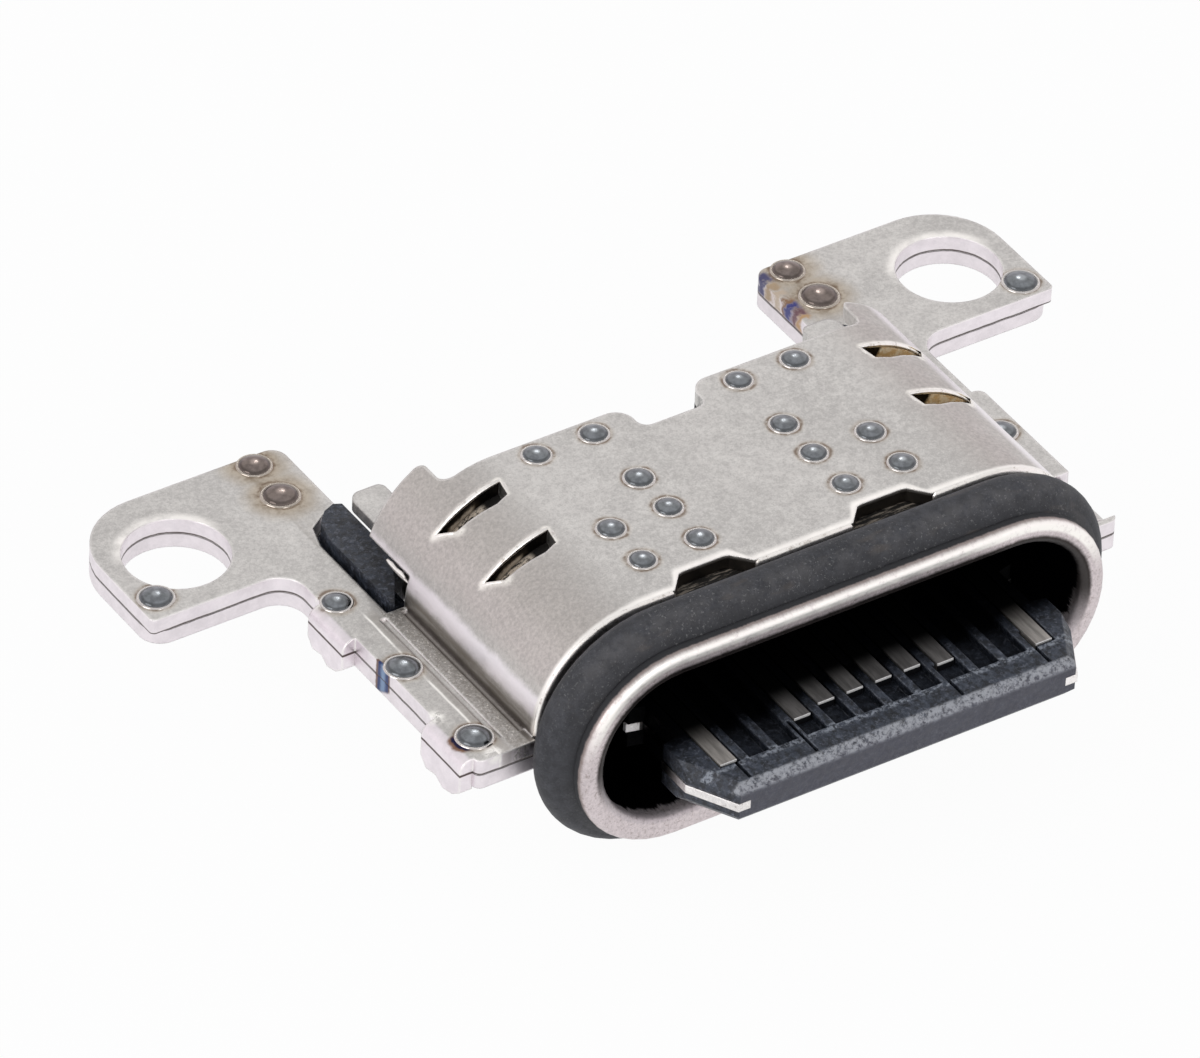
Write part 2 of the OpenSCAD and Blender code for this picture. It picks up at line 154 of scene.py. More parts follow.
class Finish(Tree):
    """A material's node tree, with short calls for the nodes that the finishes share."""

    def __init__(self, name):
        self.material = bpy.data.materials.new(name)
        super().__init__(self.material)
        self.shader = self.nodes["Principled BSDF"]
        place = self.put("ShaderNodeTexCoord").outputs["Object"]
        scaled = self.put("ShaderNodeVectorMath", [place], operation="SCALE")
        scaled.inputs["Scale"].default_value = 1 / MM
        self.mm = scaled.outputs[0]
        split = self.put("ShaderNodeSeparateXYZ", [self.mm])
        self.x, self.y, self.z = split.outputs
        self.side = self.calc("ABSOLUTE", self.x)

    def calc(self, operation, a, b=None, clamp=False):
        values = [a] if b is None else [a, b]
        return self.put("ShaderNodeMath", values, operation=operation, use_clamp=clamp).outputs[0]

    def times(self, *factors):
        total = factors[0]
        for factor in factors[1:]:
            total = self.calc("MULTIPLY", total, factor)
        return total

    def plus(self, a, b):
        return self.calc("ADD", a, b)

    def minus(self, a, b):
        return self.calc("SUBTRACT", a, b)

    def most(self, a, b):
        return self.calc("MAXIMUM", a, b)

    def size(self, a):
        return self.calc("ABSOLUTE", a)

    def invert(self, a):
        return self.minus(1.0, a)

    def rise(self, value, low, high, to_low=0.0, to_high=1.0):
        """Smooth step of a value from one level to another."""
        node = self.put("ShaderNodeMapRange", [value, low, high, to_low, to_high],
                        interpolation_type="SMOOTHSTEP")
        return node.outputs[0]

    def fall(self, value, low, high):
        return self.rise(value, low, high, 1.0, 0.0)

    def band(self, value, low, high, soft):
        """1 between two levels and 0 outside, with soft edges."""
        return self.times(self.rise(value, low - soft, low + soft),
                          self.rise(value, high - soft, high + soft, 1.0, 0.0))

    def stretched(self, factors):
        node = self.put("ShaderNodeVectorMath", [self.mm], operation="MULTIPLY")
        node.inputs[1].default_value = factors
        return node.outputs[0]

    def noise(self, scale, detail, rough, at=None):
        node = self.put("ShaderNodeTexNoise")
        values = (at or self.mm, scale, detail, rough)
        for name, value in zip(("Vector", "Scale", "Detail", "Roughness"), values):
            self.feed(node.inputs[name], value)
        return node.outputs["Fac"]

    def patches(self, scale, detail, rough, low, high, to_low=0.0, to_high=1.0, at=None):
        """Noise as patches: smooth steps between two of its levels."""
        return self.rise(self.noise(scale, detail, rough, at), low, high, to_low, to_high)

    def wobble(self, depth, *grain):
        """Noise about zero, to make an outline uneven."""
        return self.times(self.minus(self.noise(*grain), 0.5), depth)

    def mix(self, factor, a, b):
        node = self.put("ShaderNodeMix", data_type="RGBA")
        for index, value in ((0, factor), (6, a), (7, b)):
            if isinstance(value, tuple) and len(value) == 3:
                value = (*value, 1.0)
            self.feed(node.inputs[index], value)
        return node.outputs[2]

    def coat(self, color, *factors):
        """Lays a colour over the base, as strongly as its factors say."""
        self.base = self.mix(self.times(*factors), self.base, color)

    def near(self, centre, flat=False):
        """Distance from a point, in millimetres; flat leaves Z out."""
        away = self.put("ShaderNodeVectorMath", [self.mm], operation="SUBTRACT")
        away.inputs[1].default_value = centre
        out = away.outputs[0]
        if flat:
            level = self.put("ShaderNodeVectorMath", [out], operation="MULTIPLY")
            level.inputs[1].default_value = (1, 1, 0)
            out = level.outputs[0]
        return self.put("ShaderNodeVectorMath", [out], operation="LENGTH").outputs["Value"]

    def blob(self, centre, radius, soft):
        """Soft round patch: 1 at its centre, 0 beyond its radius."""
        return self.fall(self.near(centre), radius * (1 - soft), radius)

    def weld_gap(self, welds, mirrored):
        """Distance from the rim of the nearest weld."""
        flat = self.put("ShaderNodeCombineXYZ", [self.side if mirrored else self.x, self.y, 0.0]).outputs[0]
        gap = None
        for x, y, r in welds:
            away = self.put("ShaderNodeVectorMath", [flat], operation="DISTANCE")
            away.inputs[1].default_value = (x, y, 0)
            rim = self.minus(away.outputs["Value"], r)
            gap = rim if gap is None else self.calc("MINIMUM", gap, rim)
        return gap

    def facing(self):
        """X, Y and Z of the surface's normal, in the object's own frame."""
        node = self.put("ShaderNodeTexCoord")
        return self.put("ShaderNodeSeparateXYZ", [node.outputs["Normal"]]).outputs

    def slot_place(self):
        """Distance of a point from the part's middle, less the +X shoulder's extra reach."""
        return self.minus(self.side, self.rise(self.x, -1, 1, 0, SLOT_SHIFT))

    def shell_reach(self):
        """Distance of a point from the shell's core line, which runs across the part."""
        over = self.most(self.minus(self.side, CORE_X), 0.0)
        up = self.minus(self.z, AXIS_Z)
        return self.calc("SQRT", self.plus(self.times(over, over), self.times(up, up)))

    def segment_gap(self, x, y, start, end):
        """Distance of the place (x, y) from a straight segment."""
        run = Vector(end) - Vector(start)
        dx, dy = (self.minus(x, start[0]), self.minus(y, start[1]))
        per = run.length_squared
        along = self.plus(self.times(dx, run.x / per), self.times(dy, run.y / per))
        along = self.calc("MULTIPLY", along, 1.0, clamp=True)
        off_x = self.minus(dx, self.times(along, run.x))
        off_y = self.minus(dy, self.times(along, run.y))
        return self.calc("SQRT", self.plus(self.times(off_x, off_x), self.times(off_y, off_y)))

    def edges(self, radius, low, high):
        """1 along sharp edges, fading within a radius given in millimetres."""
        round_off = self.put("ShaderNodeBevel", samples=6)
        round_off.inputs["Radius"].default_value = radius * MM
        flat = self.put("ShaderNodeNewGeometry").outputs["Normal"]
        dot = self.put("ShaderNodeVectorMath", [round_off.outputs[0], flat], operation="DOT_PRODUCT")
        return self.rise(self.invert(dot.outputs["Value"]), low, high)

    def rounded(self, radius):
        node = self.put("ShaderNodeBevel", samples=6)
        node.inputs["Radius"].default_value = radius * MM
        return node.outputs[0]

    def bump(self, height, distance, strength, under=None):
        node = self.put("ShaderNodeBump")
        node.inputs["Strength"].default_value = strength
        node.inputs["Distance"].default_value = distance * MM
        self.feed(node.inputs["Height"], height)
        self.feed(node.inputs["Normal"], under)
        return node.outputs[0]

    def surface(self, roughness, normal=None, metallic=0.0, shine=None):
        """Feeds the base and the rest to the shader, and returns the finished material."""
        for name, value in (("Base Color", self.base), ("Roughness", roughness), ("Metallic", metallic),
                            ("Normal", normal), ("Specular IOR Level", shine)):
            self.feed(self.shader.inputs[name], value)
        return self.material


def shade(color, share):
    return tuple(min(1.0, c * share) for c in color)


def steel_grain(fin, color, spread):
    """Satin sheet: cloudy tone, fine speckle and a faint mottle."""
    cloud = fin.patches(0.55, 4, 0.55, 0.3, 0.7, -1.0, 1.0)
    speck = fin.patches(16, 3, 0.6, 0.28, 0.72, -1.0, 1.0)
    fine = fin.patches(44, 2, 0.6, 0.25, 0.75, -1.0, 1.0)
    tone = fin.plus(fin.times(cloud, 0.5), fin.plus(fin.times(speck, 0.9), fin.times(fine, 0.8)))
    dark = shade(color, 1 - spread)
    light = shade(color, 1 + spread)
    return fin.mix(fin.rise(tone, -1.6, 1.6), dark, light)


def sheen_tone(fin, look):
    """Painted reflection for upright faces: pale lavender, faintly clouded."""
    clouds = fin.patches(4, 4, 0.65, 0.3, 0.7)
    return fin.mix(clouds, shade(look.cut, 0.94), shade(look.cut, 1.06))


def grain_height(fin):
    return fin.plus(fin.times(fin.noise(16, 3, 0.6), 0.6), fin.times(fin.noise(44, 2, 0.6), 0.4))


def seam_line(fin):
    """Dark line where the two sheets meet."""
    ragged = fin.wobble(0.03, 3, 3, 0.6)
    off = fin.size(fin.minus(fin.plus(fin.z, ragged), SHEET_T))
    return fin.fall(off, SEAM_HALF * 0.5, SEAM_HALF * 1.4)


def weld_marks(fin, look):
    """Halo and broken brown outline round each weld, and burnt patches on the ears."""
    ragged = fin.wobble(0.09, 4.5, 3, 0.6)
    roof = fin.plus(fin.weld_gap(ROOF_WELDS, True), ragged)
    flange = fin.plus(fin.weld_gap(FLANGE_WELDS, False), ragged)
    ears = fin.plus(fin.weld_gap(EAR_WELDS, False), fin.times(ragged, 1.8))
    flat = fin.rise(fin.facing()[2], 0.4, 0.6)
    on_roof = fin.times(fin.rise(fin.z, 1.6, 1.9), flat)
    off_roof = fin.times(fin.fall(fin.z, 1.6, 1.9), flat)
    broken = fin.patches(5, 4, 0.7, 0.4, 0.58, 0.12, 1.0)
    for gap, where, reach, depth in ((roof, on_roof, 0.14, 0.38), (flange, off_roof, 0.16, 0.45),
                                     (ears, off_roof, 0.44, 0.8)):
        halo = fin.times(fin.fall(gap, 0.03, reach), where, depth)
        fin.coat(tuple(look.tan), halo)
        ring = fin.times(fin.band(gap, 0.03, 0.075, 0.025), where, broken, 0.8)
        fin.coat((0.16, 0.105, 0.07), ring)
    burnt = fin.times(fin.fall(ears, 0.0, 0.26), off_roof, fin.patches(7, 4, 0.7, 0.46, 0.62))
    fin.coat((0.2, 0.145, 0.1), burnt, 0.7)


def heat_tints(fin):
    """Blue and brown tints on the flange's cut face beside two welds, and on the right ear's."""
    ragged = fin.wobble(0.06, 9, 3, 0.6)
    run = fin.plus(fin.y, ragged)
    on_edge = fin.times(fin.fall(fin.x, -5.6, -5.57),
                        fin.rise(fin.plus(fin.z, fin.times(run, 0.5)), -1.86, -1.78))
    outer = fin.times(fin.band(run, -3.92, -3.55, 0.02), on_edge)
    fin.coat((0.13, 0.06, 0.04), outer, 0.9)
    inner = fin.times(fin.band(run, -3.88, -3.6, 0.02), on_edge)
    fin.coat((0.045, 0.065, 0.17), inner)
    fin.coat((0.27, 0.38, 0.55), fin.band(run, -3.8, -3.68, 0.04), on_edge, 0.75)
    # a curved streak that hugs the front weld
    rim = fin.plus(fin.near((-5.34, -5.76, 0), True), ragged)
    beside = fin.times(fin.fall(fin.x, -5.52, -5.46), fin.band(fin.y, -5.98, -5.6, 0.04))
    fin.coat((0.2, 0.09, 0.04), fin.band(rim, 0.27, 0.4, 0.025), beside, 0.9)
    fin.coat((0.02, 0.02, 0.055), fin.band(rim, 0.285, 0.35, 0.02), beside)
    # the right ear's inner face, in soft uneven patches
    inner_face = fin.times(fin.band(fin.x, 4.15, 4.4, 0.05), fin.rise(fin.z, 0.24, 0.32))
    sway = fin.plus(fin.y, fin.wobble(0.5, 4, 4, 0.7))
    for at, half, color in ((1.2, 0.1, (0.07, 0.07, 0.16)), (0.98, 0.09, (0.4, 0.3, 0.2)),
                            (0.76, 0.08, (0.52, 0.43, 0.34)), (0.56, 0.06, (0.24, 0.13, 0.07)),
                            (0.42, 0.09, (0.04, 0.045, 0.2)), (0.25, 0.07, (0.16, 0.08, 0.1)),
                            (0.12, 0.06, (0.45, 0.28, 0.14))):
        streak = fin.times(fin.band(sway, at - half, at + half, 0.06), inner_face)
        fin.coat(color, streak, 0.95)


def slot_marks(fin, ny):
    """Painted shade on the slots' walls, painted light on parts of them, gold on the +X side and cream on the
    -X side, and painted highlights round their ends.
    """
    place = fin.slot_place()
    high = fin.rise(fin.z, 1.0, 1.1)
    wall = fin.rise(fin.size(ny), 0.55, 0.8)
    grain = fin.noise(9, 4, 0.7)
    slope = fin.plus(place, fin.plus(fin.times(grain, 0.12), fin.times(fin.minus(fin.z, 1.75), -0.55)))
    slot_light = fin.times(fin.rise(fin.x, -1, 1), high, wall, fin.rise(slope, 3.26, 3.34),
                     fin.fall(place, 4.0, 4.12))
    cream = fin.times(fin.fall(fin.x, -1, 1), high, wall, fin.band(place, 3.5, 3.95, 0.05),
                      fin.fall(fin.plus(fin.shell_reach(), fin.times(grain, 0.14)), 1.58, 1.66))
    for y in SLOT_YS:
        run = fin.minus(fin.y, y)
        within = fin.times(fin.band(run, -0.38, 0.06, 0.01), wall, high)
        # painted shade inside each slot, then painted light in gold and in cream
        fin.coat((0.016, 0.012, 0.008), within, 0.97)
        fin.coat(fin.mix(fin.rise(grain, 0.4, 0.6), (0.8, 0.55, 0.26), (1.0, 0.86, 0.62)), within, slot_light, 0.97)
        fin.coat((0.82, 0.7, 0.56), within, cream, 0.9)
        # painted highlights round each slot's ends
        for start, end, reach in (((3.1, 0.05), (4.16, 0.0), 0.09), ((4.16, 0.0), (3.94, -0.32), 0.12),
                                  ((3.08, 0.04), (3.13, -0.26), 0.1)):
            gap = fin.segment_gap(place, run, start, end)
            patch = fin.times(fin.fall(gap, 0.01, reach), high, fin.invert(wall),
                              fin.rise(grain, 0.34, 0.56, 0.5, 1.0))
            fin.coat((0.97, 0.94, 0.88), patch, 0.9)
    return fin.most(slot_light, cream)


def front_run(fin):
    """Distance behind the cover's front edge, which steps back at its two notches."""
    notch = fin.times(fin.band(fin.side, 0.98, 2.12, 0.13), NOTCH_DEPTH, fin.rise(fin.z, 1.5, 1.8))
    return fin.minus(fin.minus(fin.y, COVER_Y), notch)


def cover_finish(look):
    """Upper sheet: satin steel with weld halos, heat tints, painted highlights, shade and reflections, and a
    coined flange.
    """
    fin = Finish("cover_steel")
    fin.base = steel_grain(fin, tuple(look.steel), 0.15)
    ny, nz = fin.facing()[1:]
    upright = fin.fall(fin.size(nz), 0.12, 0.5)
    top = fin.rise(nz, 0.5, 0.8)

    # painted shade makes the shoulders darker and browner than the flat roof, and a painted reflection makes
    # the cut faces paler and pinkish
    shoulder = fin.times(fin.rise(fin.side, 2.7, 3.7), fin.rise(fin.z, 1.0, 1.5))
    warm = fin.mix(fin.patches(18, 3, 0.7, 0.3, 0.7), shade(look.warm, 0.8), shade(look.warm, 1.22))
    fin.coat(warm, shoulder, 0.6)
    cut = fin.times(upright, fin.fall(fin.z, 0.55, 0.6))
    sheen = sheen_tone(fin, look)
    fin.coat(sheen, cut, 0.88)
    # the same painted reflection on the folded tabs
    folded = fin.times(fin.rise(fin.side, 5.64, 5.7), fin.fall(fin.y, -1.9, -1.7))
    fin.coat(sheen, folded, 0.85)
    # a painted reflection makes the right shoulder's far side pale, where it turns down
    far = fin.times(fin.rise(fin.x, -1, 1), fin.band(fin.slot_place(), 3.98, 4.42, 0.12),
                    fin.rise(fin.z, 1.0, 1.2))
    fin.coat(ROSE, far, 0.7)
    # a painted reflection: a pale band along the upright walls below the shoulders
    wall = fin.times(fin.rise(fin.side, 4.3, 4.42), fin.fall(fin.side, 4.95, 5.0))
    sway = fin.plus(fin.z, fin.wobble(0.16, 2.5, 4, 0.65))
    fin.coat(ROSE, wall, fin.band(sway, 0.84, 1.14, 0.07), 0.85)

    # the flange's coined band, a painted highlight along its ridge and painted shade at the foot of the wall
    low = fin.fall(fin.z, 0.6, 0.75)
    behind = fin.fall(fin.y, -2.75, -2.45)
    sandy = fin.times(low, fin.band(fin.side, 4.74, 4.99, 0.04), behind)
    fin.coat((0.26, 0.235, 0.2), sandy, fin.patches(24, 3, 0.65, 0.36, 0.62), 0.6)
    fin.coat((1.0, 0.97, 0.92), sandy, fin.patches(30, 3, 0.7, 0.54, 0.66), 0.9)
    dull = fin.times(low, fin.band(fin.side, 5.03, 5.2, 0.04), behind)
    fin.coat((0.3, 0.27, 0.24), dull, 0.45)
    wander = fin.plus(fin.side, fin.wobble(0.05, 2, 3, 0.6))
    ridge = fin.times(low, fin.band(wander, 5.21, 5.245, 0.014), behind,
                      fin.patches(3.2, 3, 0.6, 0.34, 0.5, 0.35, 1.0))
    fin.coat(HIGHLIGHT, ridge, 0.95)
    foot = fin.times(fin.band(fin.side, 4.6, 4.72, 0.02), fin.band(fin.z, 0.4, 0.62, 0.06), behind)
    fin.coat((0.12, 0.1, 0.085), foot, 0.75)
    lines = fin.patches(9, 3, 0.6, 0.35, 0.6, 0.35, 0.85, at=fin.stretched((1, 0.1, 1)))
    wall_foot_shade = fin.times(fin.band(fin.z, 0.53, 0.8, 0.06), wall, lines)
    fin.coat((0.27, 0.245, 0.215), wall_foot_shade)

    # the front edge and the screw holes' rear rims are rolled over: both get a painted highlight
    reach = fin.rise(fin.side, 2.6, 3.3, 1.0, 0.55)
    rolled = fin.times(fin.fall(fin.calc("DIVIDE", front_run(fin), reach), 0.04, 0.17),
                       fin.rise(fin.z, 0.5, 0.62), fin.patches(3, 3, 0.5, 0.25, 0.5, 0.75, 1.0))
    fin.coat(SHINE, rolled, 0.95)
    rim = fin.weld_gap([SCREW], True)
    glare = fin.times(fin.fall(rim, 0.02, 0.2), fin.rise(fin.y, 0.05, 0.55), top,
                      fin.patches(2.6, 4, 0.6, 0.3, 0.55, 0.35, 1.0))
    fin.coat((0.98, 0.95, 0.91), glare, 0.9)

    # painted highlights along the sharp edges, in patches
    patchy = fin.patches(2.2, 4, 0.6, 0.3, 0.62, 0.35, 1.0)
    fin.coat((0.97, 0.95, 0.92), fin.edges(0.08, 0.015, 0.16), patchy, 0.8)

    slot_light = slot_marks(fin, ny)
    # painted shade on the upright walls of the front notches
    notch = fin.times(fin.rise(fin.z, 1.95, 1.99), fin.fall(fin.size(nz), 0.3, 0.6),
                      fin.fall(fin.z, 2.2, 2.27), fin.band(fin.side, 0.84, 2.26, 0.01),
                      fin.fall(fin.y, COVER_Y + 0.4, COVER_Y + 0.45))
    fin.coat((0.045, 0.034, 0.026), notch, 0.92)
    weld_marks(fin, look)
    # painted highlights on the bent tabs' creases
    creases = None
    for at in ((-5.6, -5.1, 0.5), (-5.6, -2.02, 0.5), (-5.3, -6.2, 0.5)):
        spot = fin.blob(at, 0.2, 0.7)
        creases = spot if creases is None else fin.most(creases, spot)
    jagged = fin.patches(6, 3, 0.7, 0.4, 0.52)
    fin.coat(HIGHLIGHT, creases, jagged, 0.95)
    heat_tints(fin)
    fin.coat((0.06, 0.035, 0.03), seam_line(fin), upright, 0.95)

    bump = fin.bump(grain_height(fin), 0.008, 0.55, fin.rounded(0.045))
    rough = fin.patches(3.5, 4, 0.6, 0.3, 0.7, 0.34, 0.46)
    return fin.surface(rough, bump, fin.invert(slot_light))


def rim_finish(look):
    """Metal of the rolled front edge and the slots' rims: painted bright as a highlight, with brown flecks.
    """
    fin = Finish("rim_steel")
    fin.base = steel_grain(fin, (0.95, 0.92, 0.88), 0.05)
    fleck = fin.patches(7, 4, 0.75, 0.55, 0.66)
    fin.coat((0.34, 0.29, 0.25), fleck, 0.55)
    # the slots' rims fade into the sheet at their far ends
    plain = fin.times(fin.fall(fin.side, 3.05, 3.4), fin.rise(fin.y, ROOF_BACK_Y - 2.4, ROOF_BACK_Y - 2.3))
    fin.coat(tuple(look.steel), plain, 0.5)
    bump = fin.bump(grain_height(fin), 0.01, 0.5)
    return fin.surface(0.3, bump, 1.0)


def underside_finish(look):
    fin = Finish("lower_cover_steel")
    fin.base = steel_grain(fin, tuple(look.steel), 0.1)
    upright = fin.fall(fin.size(fin.facing()[2]), 0.12, 0.5)
    # painted reflection: upright faces paler and lavender
    fin.coat(sheen_tone(fin, look), upright, 0.85)
    fin.coat((0.03, 0.02, 0.02), seam_line(fin), upright, 0.95)
    # painted highlights along the sharp edges
    fin.coat((0.95, 0.93, 0.92), fin.edges(0.04, 0.02, 0.25), 0.6)
    heat_tints(fin)
    bump = fin.bump(grain_height(fin), 0.008, 0.5, fin.rounded(0.04))
    return fin.surface(0.42, bump, 1.0)


def shell_finish(look):
    """Drawn shell: pale lip, a ragged lit band, painted shade inside the bore and on the shell under the
    covers, painted light where the slots show it.
    """
    fin = Finish("shell_steel")
    fin.base = steel_grain(fin, tuple(look.lip), 0.14)
    away = fin.minus(fin.y, LIP_Y)
    # only the bore's own wall gets the painted shade: that is, what lies nearer the core line than the
    # shell's outside
    up = fin.minus(fin.z, AXIS_Z)
    reach = fin.shell_reach()
    in_bore = fin.fall(reach, 1.36, 1.4)
    fore = fin.fall(fin.y, ROOF_BACK_Y - 0.08, ROOF_BACK_Y - 0.05)
    streaks = fin.noise(11, 5, 0.8, fin.stretched((1.0, 0.12, 1.0)))
    # the lit band before the painted shade is widest on the floor, and only a thread under the roof
    share = fin.rise(up, -0.6, 0.9, 1.0, 0.12)
    depth = fin.plus(away, fin.times(fin.minus(streaks, 0.5), share, 0.45))
    limit = fin.times(share, look.lit_band_depth)
    inside = fin.rise(fin.minus(depth, limit), -0.04, 0.05)
    black = fin.times(inside, in_bore, fore)
    fin.base = fin.mix(fore, steel_grain(fin, tuple(look.steel), 0.14), fin.base)
    # the lip: brown specks, a tarnished back and a painted highlight on its crown
    specks = fin.times(fin.patches(19, 4, 0.75, 0.54, 0.66), fore, 0.5)
    fin.coat(TARNISH, specks)
    crown = fin.times(fin.band(reach, 1.52, 1.68, 0.03), fin.fall(away, 0.06, 0.14), fin.rise(up, 0.2, 1.0),
                      fin.patches(7, 4, 0.7, 0.3, 0.5, 0.5, 1.0))
    fin.coat(SHINE, crown)
    worn = fin.plus(away, fin.times(fin.minus(streaks, 0.5), 0.06))
    tarnish = fin.times(fin.rise(worn, 0.03, 0.09), fin.invert(in_bore), fore)
    fin.coat(TARNISH, tarnish, 0.7)
    film = fin.times(fin.rise(worn, 0.1, 0.14), fin.invert(in_bore), fore)
    fin.coat(shade(look.rubber, 0.5), film)
    # painted shade along the lip's ragged inner edge
    ragged_reach = fin.plus(reach, fin.wobble(0.05, 9, 4, 0.75))
    inner_edge = fin.times(fin.fall(ragged_reach, 1.4, 1.47), fin.rise(up, -0.95, 0.1), fore)
    fin.coat((0.02, 0.016, 0.014), inner_edge, 0.97)
    # painted shade in patches, deeper in the bore
    bore_shade = fin.times(fin.rise(away, 0.12, 0.45), fin.patches(14, 4, 0.75, 0.45, 0.6), in_bore, fore)
    fin.coat((0.07, 0.06, 0.055), bore_shade, 0.8)
    # painted highlights along the lip's sharp edges
    fin.coat((1.0, 0.96, 0.93), fin.edges(0.05, 0.02, 0.25), fin.fall(away, 0.3, 0.4), 0.6)
    # painted shade on the shell under the covers, which their slots and notches show
    under = fin.times(fin.rise(away, 1.0, 1.2), fin.invert(in_bore), fore)
    fin.coat((0.006, 0.005, 0.004), under, 0.99)
    place = fin.slot_place()
    patchy = fin.patches(8, 4, 0.7, 0.4, 0.52, at=fin.stretched((1, 2.5, 1)))
    # painted light on the shell where the slots show it: cream on the -X side, gold on the +X side
    shown = 0.0
    for y in SLOT_YS:
        run = fin.minus(fin.y, y)
        left = fin.times(fin.band(place, 3.36, 3.92, 0.05), fin.band(run, -0.1, 0.01, 0.03),
                         fin.fall(fin.x, -1, 1))
        right = fin.times(fin.band(place, 3.3, 4.2, 0.05), fin.rise(fin.x, -1, 1),
                          fin.band(run, -0.4, 0.1, 0.02))
        fin.coat((0.86, 0.74, 0.6), left, patchy, 0.95)
        fin.coat((1.0, 0.8, 0.48), right, 0.95)
        shown = fin.most(shown, fin.most(fin.times(left, patchy), right))
    # painted streaky highlights on the shell under the front notches
    streaky_glints = fin.times(under, fin.fall(away, 1.6, 1.65),
                        fin.patches(7, 4, 0.7, 0.5, 0.62, at=fin.stretched((0.4, 3, 1))))
    fin.coat((0.36, 0.31, 0.25), streaky_glints, 0.85)
    # painted shade: black inside the bore
    fin.coat((0.0012, 0.0012, 0.0014), black)
    lit_band = fin.times(in_bore, fin.invert(inside), fore)
    metal = fin.times(fin.invert(black), fin.invert(fin.times(lit_band, 0.55)), fin.invert(film),
                      fin.invert(shown))
    rough = fin.patches(4, 4, 0.6, 0.3, 0.7, 0.32, 0.45)
    rough = fin.plus(rough, fin.times(black, 0.4))
    bump = fin.bump(fin.plus(grain_height(fin), fin.times(streaks, 0.5)), 0.01, 0.5, fin.rounded(0.05))
    return fin.surface(fin.plus(rough, fin.times(film, 0.25)), bump, metal,
                       shine=fin.rise(black, 0.0, 1.0, 0.4, 0.0))


def rubber_finish(look):
    """Seal: dusty charcoal rubber with pale specks, a painted highlight on its crown, and painted shade on
    its front side and in the gap before the cover.
    """
    fin = Finish("seal_rubber")
    cloud = fin.patches(0.8, 4, 0.6, 0.3, 0.7)
    fin.base = fin.mix(cloud, shade(look.rubber, 0.85), shade(look.rubber, 1.2))
    fine = fin.patches(28, 3, 0.7, 0.3, 0.7, 0.0, 0.5)
    fin.coat(shade(look.rubber, 1.9), fine)
    mottle = fin.patches(5, 4, 0.65, 0.4, 0.62)
    fin.coat(shade(look.rubber, 0.55), mottle, 0.6)
    # painted shade on the seal's front side, next to the lip
    foreside = fin.rise(fin.minus(fin.y, LIP_Y), 0.22, 0.5, 0.75, 0.0)
    fin.coat(shade(look.rubber, 0.45), foreside)
    # painted highlight along the seal's crown
    crown = fin.times(fin.band(fin.minus(fin.y, LIP_Y), 0.4, 0.62, 0.12), fin.rise(fin.z, 1.4, 2.3))
    fin.coat((0.13, 0.125, 0.125), crown, fin.patches(3, 4, 0.7, 0.35, 0.6), 0.45)
    # dust lies on the upper side, in patches
    patch = fin.times(fin.patches(1.1, 3, 0.5, 0.36, 0.62, 0.15, 1.0), fin.rise(fin.z, 1.2, 2.3, 0.3, 1.0))
    dust = fin.patches(21, 3, 0.75, 0.57, 0.68)
    fin.coat((0.24, 0.24, 0.235), dust, patch, 0.75)
    smear = fin.times(fin.patches(2.0, 3, 0.6, 0.58, 0.72, at=fin.stretched((0.5, 2, 1))), 0.35)
    fin.coat((0.12, 0.1, 0.085), smear, fin.rise(fin.z, 1.2, 2.2))
    # painted shade in the gap in front of the cover, widest on the shoulders
    width = fin.rise(fin.side, 2.4, 3.6, 0.045, 0.11)
    short = fin.minus(COVER_Y - look.roll, fin.y)
    gap = fin.times(fin.fall(fin.minus(short, width), -0.015, 0.02), fin.rise(fin.z, 0.5, 0.8))
    fin.coat((0.0006, 0.0006, 0.0006), gap)
    bump = fin.bump(fin.plus(fin.noise(24, 4, 0.7), fin.times(fin.noise(1.6, 2, 0.5), 0.6)), 0.014, 0.6)
    return fin.surface(fin.plus(0.6, fin.times(gap, 0.4)), bump, 0.0,
                       shine=fin.rise(gap, 0.0, 1.0, 0.35, 0.0))


